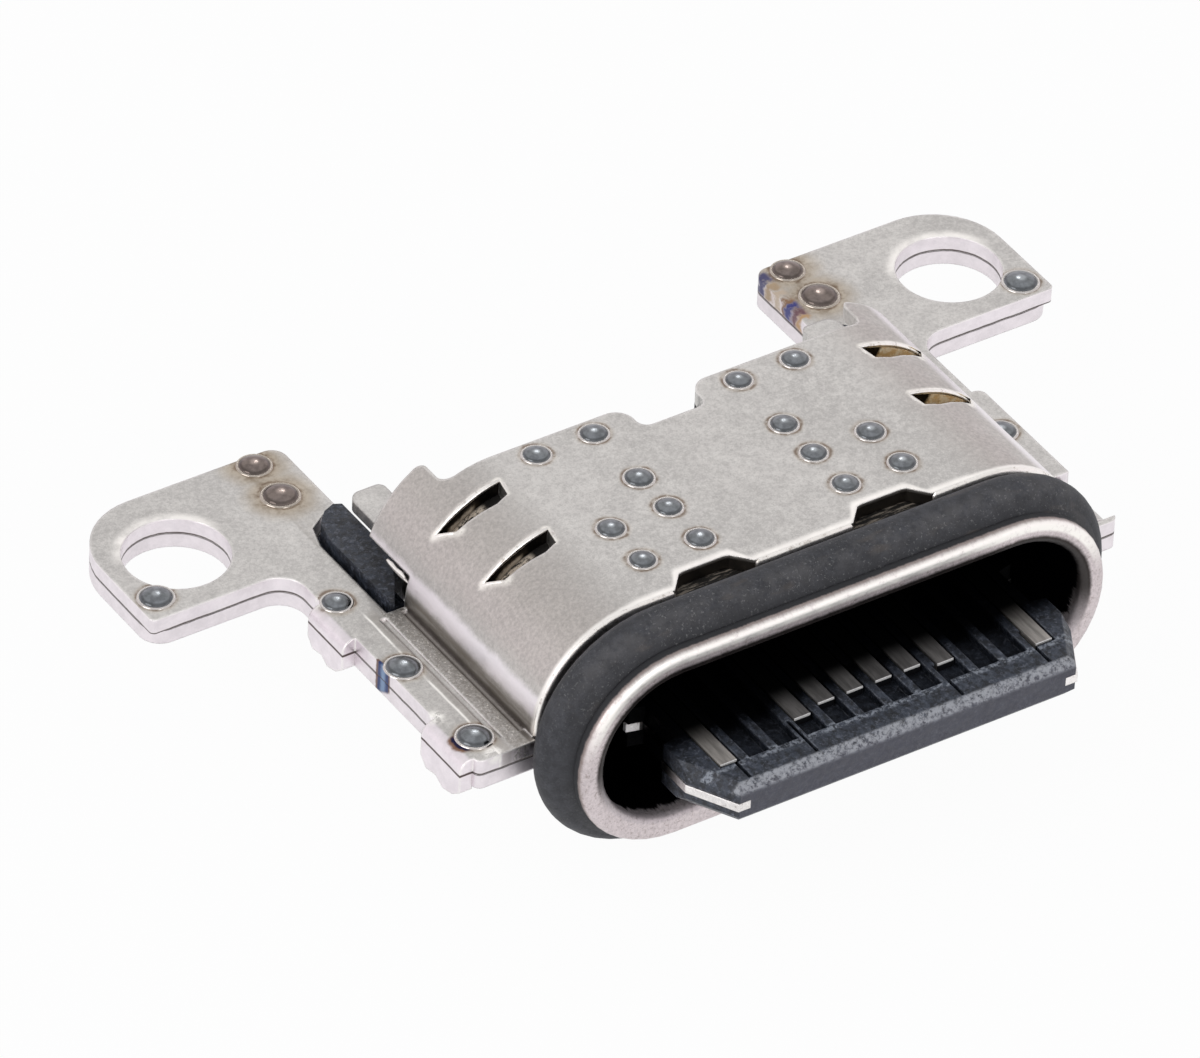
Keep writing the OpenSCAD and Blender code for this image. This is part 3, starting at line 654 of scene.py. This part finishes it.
def moulding_finish(look):
    """Black glass-filled moulding: mottled blue-black with scuffed, paler edges."""
    fin = Finish("black_moulding")
    ny, nz = fin.facing()[1:]
    cloud = fin.patches(7, 5, 0.7, 0.42, 0.6)
    fin.base = fin.mix(cloud, shade(look.moulding, 0.45), shade(look.moulding, 1.5))
    speck = fin.patches(13, 5, 0.8, 0.52, 0.64)
    fin.coat((0.15, 0.165, 0.205), speck, 0.75)
    # the tongue's nose is scuffed, with pale wear on its chamfer and on the steps behind it
    away = fin.minus(fin.y, TIP_Y)
    nose = fin.fall(away, 0.75, 1.15)
    brushed = fin.patches(10, 5, 0.75, 0.46, 0.62, at=fin.stretched((1, 0.5, 1)))
    fin.coat((0.085, 0.1, 0.13), brushed, nose, fin.rise(nz, 0.5, 0.8), 0.6)
    front = fin.fall(ny, -0.8, -0.5)
    fin.coat((0.07, 0.07, 0.092), front, fin.fall(away, 0.05, 0.1), 0.75)
    chamfer = fin.times(fin.band(away, 0.015, 0.15, 0.03), fin.rise(fin.z, 0.72, 0.78),
                        fin.patches(12, 5, 0.8, 0.36, 0.58))
    fin.coat((0.48, 0.49, 0.52), chamfer, 0.8)
    steps = fin.times(fin.band(away, 0.45, 0.6, 0.03), fin.rise(nz, 0.4, 0.7),
                      fin.patches(11, 5, 0.8, 0.46, 0.58))
    fin.coat((0.36, 0.39, 0.44), steps, 0.8)
    edge = fin.edges(0.05, 0.02, 0.25)
    scuff = fin.patches(6, 4, 0.7, 0.44, 0.64)
    fin.coat((0.26, 0.28, 0.32), edge, scuff, fin.fall(away, 0.9, 1.3), 0.8)
    # painted shade on the walls and the floor inside a channel
    sunk = fin.times(fin.fall(fin.size(fin.minus(fin.z, AXIS_Z)), 0.3, 0.33), fin.rise(away, 0.5, 0.56),
                     fin.fall(fin.side, 3.0, 3.05))
    fin.coat((0.004, 0.0045, 0.006), sunk, 0.6)
    # the rest fades into painted shade deeper in the bore
    deep = fin.times(fin.rise(away, 0.85, 1.5), fin.fall(fin.y, -3.5, -3.0))
    fin.coat((0.0006, 0.0006, 0.0008), deep, 0.99)
    rough = fin.patches(12, 4, 0.6, 0.3, 0.7, 0.38, 0.6)
    height = fin.plus(fin.noise(9, 5, 0.7), fin.times(fin.noise(30, 3, 0.7), 0.5))
    bump = fin.bump(height, 0.03, 0.55, fin.rounded(0.02))
    dim = fin.most(deep, fin.times(sunk, 0.7))
    return fin.surface(rough, bump, 0.0, shine=fin.rise(dim, 0.0, 1.0, 0.5, 0.02))


def insulator_finish():
    fin = Finish("insulator_moulding")
    fin.base = fin.mix(fin.patches(6, 4, 0.6, 0.4, 0.6), (0.02, 0.02, 0.024), (0.035, 0.035, 0.04))
    bump = fin.bump(fin.noise(22, 4, 0.7), 0.012, 0.4, fin.rounded(0.02))
    return fin.surface(0.5, bump)


def plate_finish():
    """Plate between the contact rows: bright steel with darker worn patches, painted shade inside the bore,
    and a painted glint on its notch.
    """
    fin = Finish("plate_steel")
    fin.base = steel_grain(fin, (0.86, 0.83, 0.82), 0.14)
    away = fin.minus(fin.y, TIP_Y)
    # the notch keeps a painted glint: left out of the painted shade, and less metallic
    notch = fin.times(fin.band(away, 2.2, 2.4, 0.01), fin.fall(fin.x, -3.18, -3.16))
    # painted shade: black inside the bore
    deep = fin.times(fin.rise(away, 0.85, 1.3), fin.invert(notch), fin.fall(fin.y, -2.6, -2.4))
    fin.coat((0.004, 0.004, 0.004), deep, 0.97)
    worn = fin.times(fin.patches(8, 4, 0.7, 0.55, 0.66), 0.5)
    fin.coat((0.2, 0.16, 0.15), worn)
    metal = fin.rise(notch, 0.3, 0.7, 1.0, 0.3)
    bump = fin.bump(grain_height(fin), 0.006, 0.5, fin.rounded(0.025))
    return fin.surface(0.3, bump, metal, shine=fin.rise(deep, 0.0, 1.0, 0.5, 0.0))


def contact_finish(name, front, tone, bright):
    """Contact: pale front edge, worn top, and painted shade that takes it to black inside the bore within the
    bright length.
    """
    fin = Finish(name)
    away = fin.minus(fin.y, TIP_Y + front)
    brushed = fin.noise(14, 4, 0.6, fin.stretched((1, 0.12, 1)))
    fin.base = fin.mix(fin.rise(brushed, 0.3, 0.7), shade(tone, 0.7), shade(tone, 1.3))
    # painted shade, growing deeper into the bore
    fading = fin.times(fin.rise(away, bright * 0.1, bright), 0.8)
    fin.coat(shade(tone, 0.25), fading, fin.fall(fin.y, *FAR_INSIDE))
    tip = fin.fall(away, 0.012, 0.03)
    high = fin.rise(fin.size(fin.minus(fin.z, AXIS_Z)), 0.306, 0.318)
    fin.coat((0.01, 0.01, 0.012), tip)
    tip = fin.times(tip, high)
    fin.coat((1.0, 0.98, 0.95), tip)
    # painted shade: black further into the bore
    in_bore = fin.times(fin.rise(away, bright * 0.4, bright), fin.fall(fin.y, *FAR_INSIDE))
    fin.coat((0.002, 0.002, 0.002), in_bore)
    rough = fin.patches(10, 3, 0.6, 0.3, 0.7, 0.3, 0.42)
    bump = fin.bump(brushed, 0.008, 0.4, fin.rounded(0.015))
    return fin.surface(rough, bump, fin.rise(tip, 0.3, 0.7, 0.35, 0.2),
                       shine=fin.rise(in_bore, 0.0, 1.0, 0.5, 0.0))


def weld_finish(name, color, ring, rough):
    """Fused metal: oxidised dome with a painted highlight at its centre and painted shade at its foot, with a
    clean pale ring round it.
    """
    fin = Finish(name)
    fin.base = fin.mix(fin.patches(9, 4, 0.6, 0.35, 0.65), shade(color, 0.8), shade(color, 1.2))
    out = fin.put("ShaderNodeAttribute", attribute_name="out").outputs["Fac"]
    wander = fin.plus(out, fin.wobble(0.16, 4, 3, 0.6))
    # painted highlight: lighter towards the dome's centre
    fin.coat(shade(color, 3.4), fin.rise(wander, 0.05, 0.42, 0.5, 0.0))
    # painted shade at the dome's foot
    fin.coat(shade(color, 0.3), fin.band(wander, 0.84, 0.99, 0.06), 0.6)
    fin.coat(ring, fin.rise(out, 1.0, 1.06))
    bump = fin.bump(fin.noise(12, 3, 0.6), 0.006, 0.4)
    return fin.surface(rough, bump, 1.0)


# ---------- Modelling helpers ----------

def pick(pieces=()):
    """Selects just these pieces; the first becomes the active one."""
    if bpy.context.object and bpy.context.object.mode != "OBJECT":
        bpy.ops.object.mode_set(mode="OBJECT")
    bpy.ops.object.select_all(action="DESELECT")
    for piece in pieces:
        piece.select_set(True)
    if pieces:
        bpy.context.view_layer.objects.active = pieces[0]


def edit_all():
    bpy.ops.object.mode_set(mode="EDIT")
    bpy.ops.mesh.select_all(action="SELECT")


def settle(piece, name, material):
    """Applies a piece's place, names it, gives it its finish and hangs it on the socket."""
    pick([piece])
    bpy.ops.object.transform_apply()
    piece.name = name
    piece.data.name = name
    piece.data.materials.clear()
    piece.data.materials.append(material)
    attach(piece, "root")
    return piece


def dress(node, material):
    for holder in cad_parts[node].material_slots:
        holder.material = material


def make_weld(radius, crown):
    """One weld: a low dome in a shallow moat, with a thin collar round it."""
    pick()
    bpy.ops.mesh.primitive_circle_add(vertices=32, radius=(radius + WELD_MOAT) * MM, fill_type="NGON")
    weld = bpy.context.object
    edit_all()
    steps = [(0.01, WELD_COLLAR), (0.015, 0.002), (0.015, -WELD_COLLAR * 0.8)]
    last = 0.0
    for angle in (18, 34, 50, 66, 80):
        across = radius * (1 - math.cos(math.radians(angle)))
        up = crown * math.sin(math.radians(angle))
        steps.append((across - (sum(step[0] for step in steps) - WELD_MOAT), up - last))
        last = up
    for thickness, depth in steps:
        bpy.ops.mesh.inset(thickness=thickness * MM, depth=depth * MM, use_even_offset=False)
    bpy.ops.object.mode_set(mode="OBJECT")
    # how far out each point lies, as a share of the dome's radius
    mark = weld.data.attributes.new("out", "FLOAT", "POINT")
    for vertex, value in zip(weld.data.vertices, mark.data):
        value.value = math.hypot(vertex.co.x, vertex.co.y) / (radius * MM)
    bpy.ops.object.shade_smooth()
    smooth = weld.modifiers.new("Round", "SUBSURF")
    smooth.levels = smooth.render_levels = 1
    bpy.ops.object.modifier_apply(modifier=smooth.name)
    return weld


def spread_welds(pattern, places, name, material):
    """Copies one weld to its places, each turned and sized a little differently, and joins them."""
    copies = []
    for i, (x, y, z, r) in enumerate(places):
        copy = pattern.copy()
        copy.data = pattern.data.copy()
        bpy.context.scene.collection.objects.link(copy)
        size = r / ROOF_WELD_R * (1 + 0.03 * math.sin(5.1 * i))
        copy.location = Vector((x, y, z)) * MM
        copy.rotation_euler = (0, 0, 1.3 * i)
        copy.scale = (size * (1 + 0.03 * math.cos(3.3 * i)), size, size)
        copies.append(copy)
    pick(copies)
    bpy.ops.object.transform_apply()
    return join_pieces(copies, name, material)


def add_section(centre, across, deep, upright=False):
    """Adds a filled oval that lies in the XY plane, or upright in the YZ plane."""
    pick()
    bpy.ops.mesh.primitive_circle_add(vertices=16, radius=MM, fill_type="NGON", location=Vector(centre) * MM,
                                      rotation=(0, math.radians(90) if upright else 0, 0))
    bpy.ops.object.transform_apply()
    edit_all()
    bpy.ops.transform.resize(value=(1, deep, across) if upright else (across, deep, 1),
                             center_override=Vector(centre) * MM)


def pull(dx, dy, dz, size=1.0, hub=None):
    """Extrudes the selected end by a step, and resizes it about its new middle."""
    bpy.ops.mesh.extrude_region_move(TRANSFORM_OT_translate={"value": Vector((dx, dy, dz)) * MM})
    if size != 1.0:
        bpy.ops.transform.resize(value=(size, size, size), center_override=Vector(hub) * MM)


def close_up():
    """Ends a swept piece: its faces are turned outwards and smoothed."""
    bpy.ops.mesh.select_all(action="SELECT")
    bpy.ops.mesh.normals_make_consistent(inside=False)
    bpy.ops.object.mode_set(mode="OBJECT")
    bpy.ops.object.shade_smooth_by_angle(angle=math.radians(50))
    return bpy.context.object


def sweep(points, sizes, radius):
    """Bead along a row of points, its size a share of radius at each."""
    chord = Vector(points[-1]) - Vector(points[0])
    pick()
    turn = Vector((0, 0, 1)).rotation_difference(chord).to_euler()
    bpy.ops.mesh.primitive_circle_add(vertices=10, radius=radius * sizes[0] * MM, fill_type="NGON",
                                      location=Vector(points[0]) * MM, rotation=turn)
    bpy.ops.object.transform_apply()
    edit_all()
    for before, point, last, size in zip(points, points[1:], sizes, sizes[1:]):
        step = Vector(point) - Vector(before)
        pull(step.x, step.y, step.z, size / last, point)
    return close_up()


def join_pieces(pieces, name, material):
    pick(pieces)
    bpy.ops.object.join()
    return settle(bpy.context.object, name, material)


def on_shoulder(side, place, y, lift=0.0):
    """Point on a shoulder's outer face; place is its distance from the middle, before the shift."""
    reach = COVER_R + lift
    over = place - CORE_X
    x = place + (SLOT_SHIFT if side > 0 else 0)
    return (side * x, y, AXIS_Z + math.sqrt(reach * reach - over * over))


# ---------- Settings ----------

def tone(name, description, default):
    return bpy.props.FloatVectorProperty(name=name, description=description, default=default,
                                         subtype="COLOR", size=3, min=0, max=1)


class SocketLook(bpy.types.PropertyGroup):
    steel: tone("Sheet", "Colour of the satin sheets", (0.56, 0.545, 0.525))
    # the shoulders' darker, browner tone is painted shade
    warm: tone("Shoulders", "Warmer tone of the rounded shoulders", (0.46, 0.42, 0.395))
    # the upright faces' paler tone is a painted reflection
    cut: tone("Cut faces", "Tone of sheared and upright faces", (0.86, 0.8, 0.84))
    lip: tone("Lip", "Colour of the drawn lip", (0.62, 0.555, 0.565))
    tan: tone("Halo", "Heat tint round the welds", (0.44, 0.37, 0.28))
    rubber: tone("Seal", "Colour of the rubber seal", (0.046, 0.047, 0.053))
    moulding: tone("Moulding", "Colour of the black tongue", (0.022, 0.027, 0.038))
    weld: tone("Welds", "Colour of the oxidised weld domes", (0.2, 0.212, 0.225))
    # how far the lit band reaches into the lip before the painted shade
    lit_band_depth: bpy.props.FloatProperty(
        name="Bare depth", description="Bare metal inside the lip, in millimetres",
        default=0.22, min=0.1, max=1.0)
    weld_crown: bpy.props.FloatProperty(
        name="Weld crown", description="Height of a weld's dome, in millimetres",
        default=0.068, min=0.03, max=0.12)
    roll: bpy.props.FloatProperty(
        name="Roll", description="Reach of the cover's rolled front edge, in millimetres",
        default=0.07, min=0.02, max=0.14)
    lens: bpy.props.FloatProperty(
        name="Lens", description="Focal length of the camera", unit="CAMERA",
        default=400.25, min=50, max=800)


class SocketOperator:
    bl_options = {"REGISTER", "UNDO"}

    def look(self, context):
        return context.scene.socket_look


class SOCKET_OT_camera(SocketOperator, bpy.types.Operator):
    """Sets the camera at its three-quarter view from above and to the left of the mouth."""
    bl_idname = "socket.camera"
    bl_label = "Camera"

    def execute(self, context):
        turn, tilt, roll, far = -0.6076521, 0.6717964, 0.0509746, 196.3297
        aim = Vector((-1.1717, -2.6635, 0.55)) * MM
        back = Vector((math.sin(turn) * math.cos(tilt), -math.cos(turn) * math.cos(tilt), math.sin(tilt)))
        right = Vector((math.cos(turn), math.sin(turn), 0))
        up = back.cross(right)
        rolled = (math.cos(roll) * right + math.sin(roll) * up, math.cos(roll) * up - math.sin(roll) * right)
        data = bpy.data.cameras.new("camera")
        data.lens = self.look(context).lens
        data.sensor_width = 36
        data.clip_start, data.clip_end = 0.01, 5
        camera = bpy.data.objects.new("camera", data)
        context.scene.collection.objects.link(camera)
        axes = Matrix((rolled[0], rolled[1], back)).transposed()
        camera.matrix_world = Matrix.Translation(aim + back * far * MM) @ axes.to_4x4()
        context.scene.camera = camera
        return {"FINISHED"}


class SOCKET_OT_covers(SocketOperator, bpy.types.Operator):
    """Finishes the two sheets that wrap the shell."""
    bl_idname = "socket.covers"
    bl_label = "Covers"

    def execute(self, context):
        look = self.look(context)
        dress("top_cover", cover_finish(look))
        dress("bottom_cover", underside_finish(look))
        return {"FINISHED"}


class SOCKET_OT_roll(SocketOperator, bpy.types.Operator):
    """Models the rolled front edge of the upper cover, in three runs between its notches."""
    bl_idname = "socket.roll"
    bl_label = "Rolled edge"

    def execute(self, context):
        across = SHEET_T / 2
        deep = self.look(context).roll
        middle_r = COVER_R - across
        high = AXIS_Z + middle_r
        runs = []
        for side in (-1, 1):
            core = CORE_X + (BULGE if side > 0 else 0)
            add_section((side * (core + middle_r), COVER_Y, AXIS_Z), across, deep)
            bpy.ops.mesh.spin(steps=20, angle=side * math.radians(90),
                              center=Vector((side * core, COVER_Y, AXIS_Z)) * MM, axis=(0, 1, 0))
            pull(-side * (core - NOTCH_X[1] - ROLL_END), 0, 0)
            pull(-side * ROLL_END, 0, 0, END_SHARE, (side * NOTCH_X[1], COVER_Y, high))
            runs.append(close_up())
        add_section((-NOTCH_X[0], COVER_Y, high), across * END_SHARE, deep * END_SHARE, True)
        pull(ROLL_END, 0, 0, 1 / END_SHARE, (ROLL_END - NOTCH_X[0], COVER_Y, high))
        pull(2 * (NOTCH_X[0] - ROLL_END), 0, 0)
        pull(ROLL_END, 0, 0, END_SHARE, (NOTCH_X[0], COVER_Y, high))
        runs.append(close_up())
        join_pieces(runs, "front_roll", rim_finish(self.look(context)))
        return {"FINISHED"}


class SOCKET_OT_burrs(SocketOperator, bpy.types.Operator):
    """Models the raised rims of the shoulder slots and the burrs over the side windows."""
    bl_idname = "socket.burrs"
    bl_label = "Rims and burrs"

    def execute(self, context):
        beads = []
        for side in (-1, 1):
            for y in SLOT_YS:
                rear = [on_shoulder(side, SLOT_IN + SLOT_SPAN * k / 10, y + 0.045 - 0.004 * k, -0.015)
                        for k in range(11)]
                swell = [0.25 + 0.75 * math.sin(math.pi * min(1, 0.12 + k / 12)) for k in range(11)]
                beads.append(sweep(rear, swell, REAR_BEAD))
                front = [on_shoulder(side, 4.17 - 0.05 * k, y - 0.075 * k, -0.022) for k in range(5)]
                beads.append(sweep(front, (0.8, 1.0, 0.7, 0.9, 0.25), SIDE_BEAD))
                tail = [on_shoulder(side, 3.03 + 0.014 * k, y - 0.02 - 0.065 * k, -0.018) for k in range(5)]
                beads.append(sweep(tail, (0.5, 1.0, 0.9, 0.6, 0.3), TAIL_BEAD))
            for x, z, start, end in ((4.6, 1.02, -2.68, -2.2), (4.53, 0.9, -2.7, -2.12)):
                line = [(side * x, start + (end - start) * k / 4, z + 0.01 * math.sin(2.2 * k))
                        for k in range(5)]
                beads.append(sweep(line, (0.5, 1.0, 0.85, 1.0, 0.6), BURR_BEAD))
        join_pieces(beads, "slot_rims", bpy.data.materials["rim_steel"])
        return {"FINISHED"}


class SOCKET_OT_mouth(SocketOperator, bpy.types.Operator):
    """Finishes the drawn shell and its rubber seal."""
    bl_idname = "socket.mouth"
    bl_label = "Mouth"

    def execute(self, context):
        look = self.look(context)
        dress("inner_shell", shell_finish(look))
        dress("seal_ring", rubber_finish(look))
        return {"FINISHED"}


class SOCKET_OT_tongue(SocketOperator, bpy.types.Operator):
    """Finishes the black tongue, its plate and the terminal blocks."""
    bl_idname = "socket.tongue"
    bl_label = "Tongue"

    def execute(self, context):
        look = self.look(context)
        dress("tongue_housing", moulding_finish(look))
        dress("mid_plate", plate_finish())
        insulator = insulator_finish()
        dress("upper_insulator", insulator)
        dress("lower_insulator", insulator)
        return {"FINISHED"}


class SOCKET_OT_contacts(SocketOperator, bpy.types.Operator):
    """Finishes the contacts: pale gold ground contacts and darker signal contacts."""
    bl_idname = "socket.contacts"
    bl_label = "Contacts"

    def execute(self, context):
        ground = contact_finish("ground_contact", GROUND_FRONT, (0.44, 0.41, 0.375), GROUND_BRIGHT)
        power = contact_finish("power_contact", POWER_FRONT, (0.19, 0.18, 0.172), POWER_BRIGHT)
        signal = contact_finish("signal_contact", SIGNAL_FRONT, (0.17, 0.162, 0.155), SIGNAL_BRIGHT)
        kinds = {"1": ground, "12": ground, "4": power, "9": power}
        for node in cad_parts:
            if node.startswith("contact_"):
                dress(node, kinds.get(node[len("contact_a"):], signal))
        return {"FINISHED"}


class SOCKET_OT_welds(SocketOperator, bpy.types.Operator):
    """Models the weld domes on the roof, the flanges and the ears."""
    bl_idname = "socket.welds"
    bl_label = "Welds"

    def execute(self, context):
        look = self.look(context)
        color = tuple(look.weld)
        pattern = make_weld(ROOF_WELD_R, look.weld_crown)
        roof = [(side * x, y, ROOF_Z, r) for x, y, r in ROOF_WELDS for side in (-1, 1)]
        flange = [(x, y, FLANGE_Z, r) for x, y, r in FLANGE_WELDS]
        ears = [(x, y, FLANGE_Z, r) for x, y, r in EAR_WELDS]
        blue = weld_finish("weld_metal", color, (0.6, 0.57, 0.55), 0.17)
        brown = weld_finish("ear_weld_metal", (0.2, 0.165, 0.15), (0.46, 0.41, 0.36), 0.14)
        spread_welds(pattern, roof, "roof_welds", blue)
        spread_welds(pattern, flange, "flange_welds", blue)
        spread_welds(pattern, ears, "ear_welds", brown)
        bpy.data.objects.remove(pattern)
        return {"FINISHED"}


class SOCKET_OT_studio(SocketOperator, bpy.types.Operator):
    """Sets a white floor, soft lamps and a pale surround."""
    bl_idname = "socket.studio"
    bl_label = "Studio"

    def execute(self, context):
        scene = context.scene
        scene.view_settings.view_transform = "Standard"
        pick()
        low = cad_box[0]
        bpy.ops.mesh.primitive_plane_add(size=1.2, location=(0, 0, low.z - FLOOR_DROP * MM))
        floor = context.object
        bpy.ops.object.transform_apply(location=True)
        floor.name = "floor"
        floor.data.materials.append(self.floor_finish())
        self.surround(scene)
        for name, at, size, power, color in (
                ("back_lamp", (0.114, 0.165, 0.159), 0.02, 0.005, (1, 1, 1)),
                ("left_box", (-0.2, -0.02, 0.12), 0.16, 0.12, (1.0, 0.985, 0.99)),
                ("front_box", (-0.02, -0.24, 0.1), 0.14, 0.1, (1.0, 0.99, 1.0))):
            data = bpy.data.lights.new(name, "AREA")
            data.shape = "DISK"
            data.size, data.energy, data.color = size, power, color
            lamp = bpy.data.objects.new(name, data)
            scene.collection.objects.link(lamp)
            lamp.location = at
            lamp.rotation_euler = (-Vector(at)).to_track_quat("-Z", "Y").to_euler()
        return {"FINISHED"}

    def floor_finish(self):
        fin = Finish("floor")
        fin.base = (0.9, 0.9, 0.9, 1)
        fin.surface(0.9)
        glow = fin.put("ShaderNodeEmission").outputs[0]
        path = fin.put("ShaderNodeLightPath").outputs
        seen = fin.most(fin.most(path["Is Camera Ray"], path["Is Glossy Ray"]), path["Is Transmission Ray"])
        share = fin.times(seen, 0.96)
        blend = fin.put("ShaderNodeMixShader", [share, fin.shader.outputs[0], glow])
        fin.feed(fin.nodes["Material Output"].inputs["Surface"], blend.outputs[0])
        return fin.material

    def surround(self, scene):
        world = bpy.data.worlds.new("surround")
        scene.world = world
        tree = Tree(world)
        ground = tree.nodes["Background"]
        ground.inputs["Color"].default_value = (0.93, 0.95, 1.0, 1)
        ground.inputs["Strength"].default_value = 0.55
        # what metal mirrors: pale at the horizon, greyer overhead
        place = tree.put("ShaderNodeTexCoord").outputs["Generated"]
        height = tree.put("ShaderNodeSeparateXYZ", [place]).outputs["Z"]
        ramp = tree.put("ShaderNodeValToRGB", [height])
        stops = ramp.color_ramp.elements
        stops[0].position, stops[0].color = 0.0, (*ROSE, 1)
        stops[1].position, stops[1].color = 1.0, (0.9, 0.9, 0.92, 1)
        for position, color in ((0.3, (1.0, 0.96, 0.99, 1)), (0.62, (0.84, 0.83, 0.82, 1))):
            stops.new(position).color = color
        mirror = tree.put("ShaderNodeBackground", ramp.outputs[:1]).outputs[0]
        plain = tree.put("ShaderNodeBackground", [(1, 1, 1, 1)]).outputs[0]
        path = tree.put("ShaderNodeLightPath").outputs
        first = tree.put("ShaderNodeMixShader", [path["Is Glossy Ray"], ground.outputs[0], mirror])
        second = tree.put("ShaderNodeMixShader", [path["Is Camera Ray"], first.outputs[0], plain])
        tree.feed(tree.nodes["World Output"].inputs["Surface"], second.outputs[0])


PIECES = (SOCKET_OT_camera, SOCKET_OT_covers, SOCKET_OT_roll, SOCKET_OT_burrs, SOCKET_OT_mouth,
          SOCKET_OT_tongue, SOCKET_OT_contacts, SOCKET_OT_welds, SOCKET_OT_studio)


class SOCKET_PT_panel(bpy.types.Panel):
    """Lists the socket's finishes and pieces."""
    bl_idname = "SOCKET_PT_panel"
    bl_label = "USB-C socket"
    bl_space_type = "VIEW_3D"
    bl_region_type = "UI"
    bl_category = "Socket"

    def draw(self, context):
        look = context.scene.socket_look
        for name in SocketLook.__annotations__:
            self.layout.prop(look, name)
        for piece in PIECES:
            self.layout.operator(piece.bl_idname)


def register():
    for cls in (SocketLook, *PIECES, SOCKET_PT_panel):
        bpy.utils.register_class(cls)
    bpy.types.Scene.socket_look = bpy.props.PointerProperty(type=SocketLook)


def unregister():
    del bpy.types.Scene.socket_look
    for cls in reversed((SocketLook, *PIECES, SOCKET_PT_panel)):
        bpy.utils.unregister_class(cls)


def main():
    register()
    bpy.ops.socket.camera()
    bpy.ops.socket.covers()
    bpy.ops.socket.roll()
    bpy.ops.socket.burrs()
    bpy.ops.socket.mouth()
    bpy.ops.socket.tongue()
    bpy.ops.socket.contacts()
    bpy.ops.socket.welds()
    bpy.ops.socket.studio()


if __name__ == "__main__":
    main()
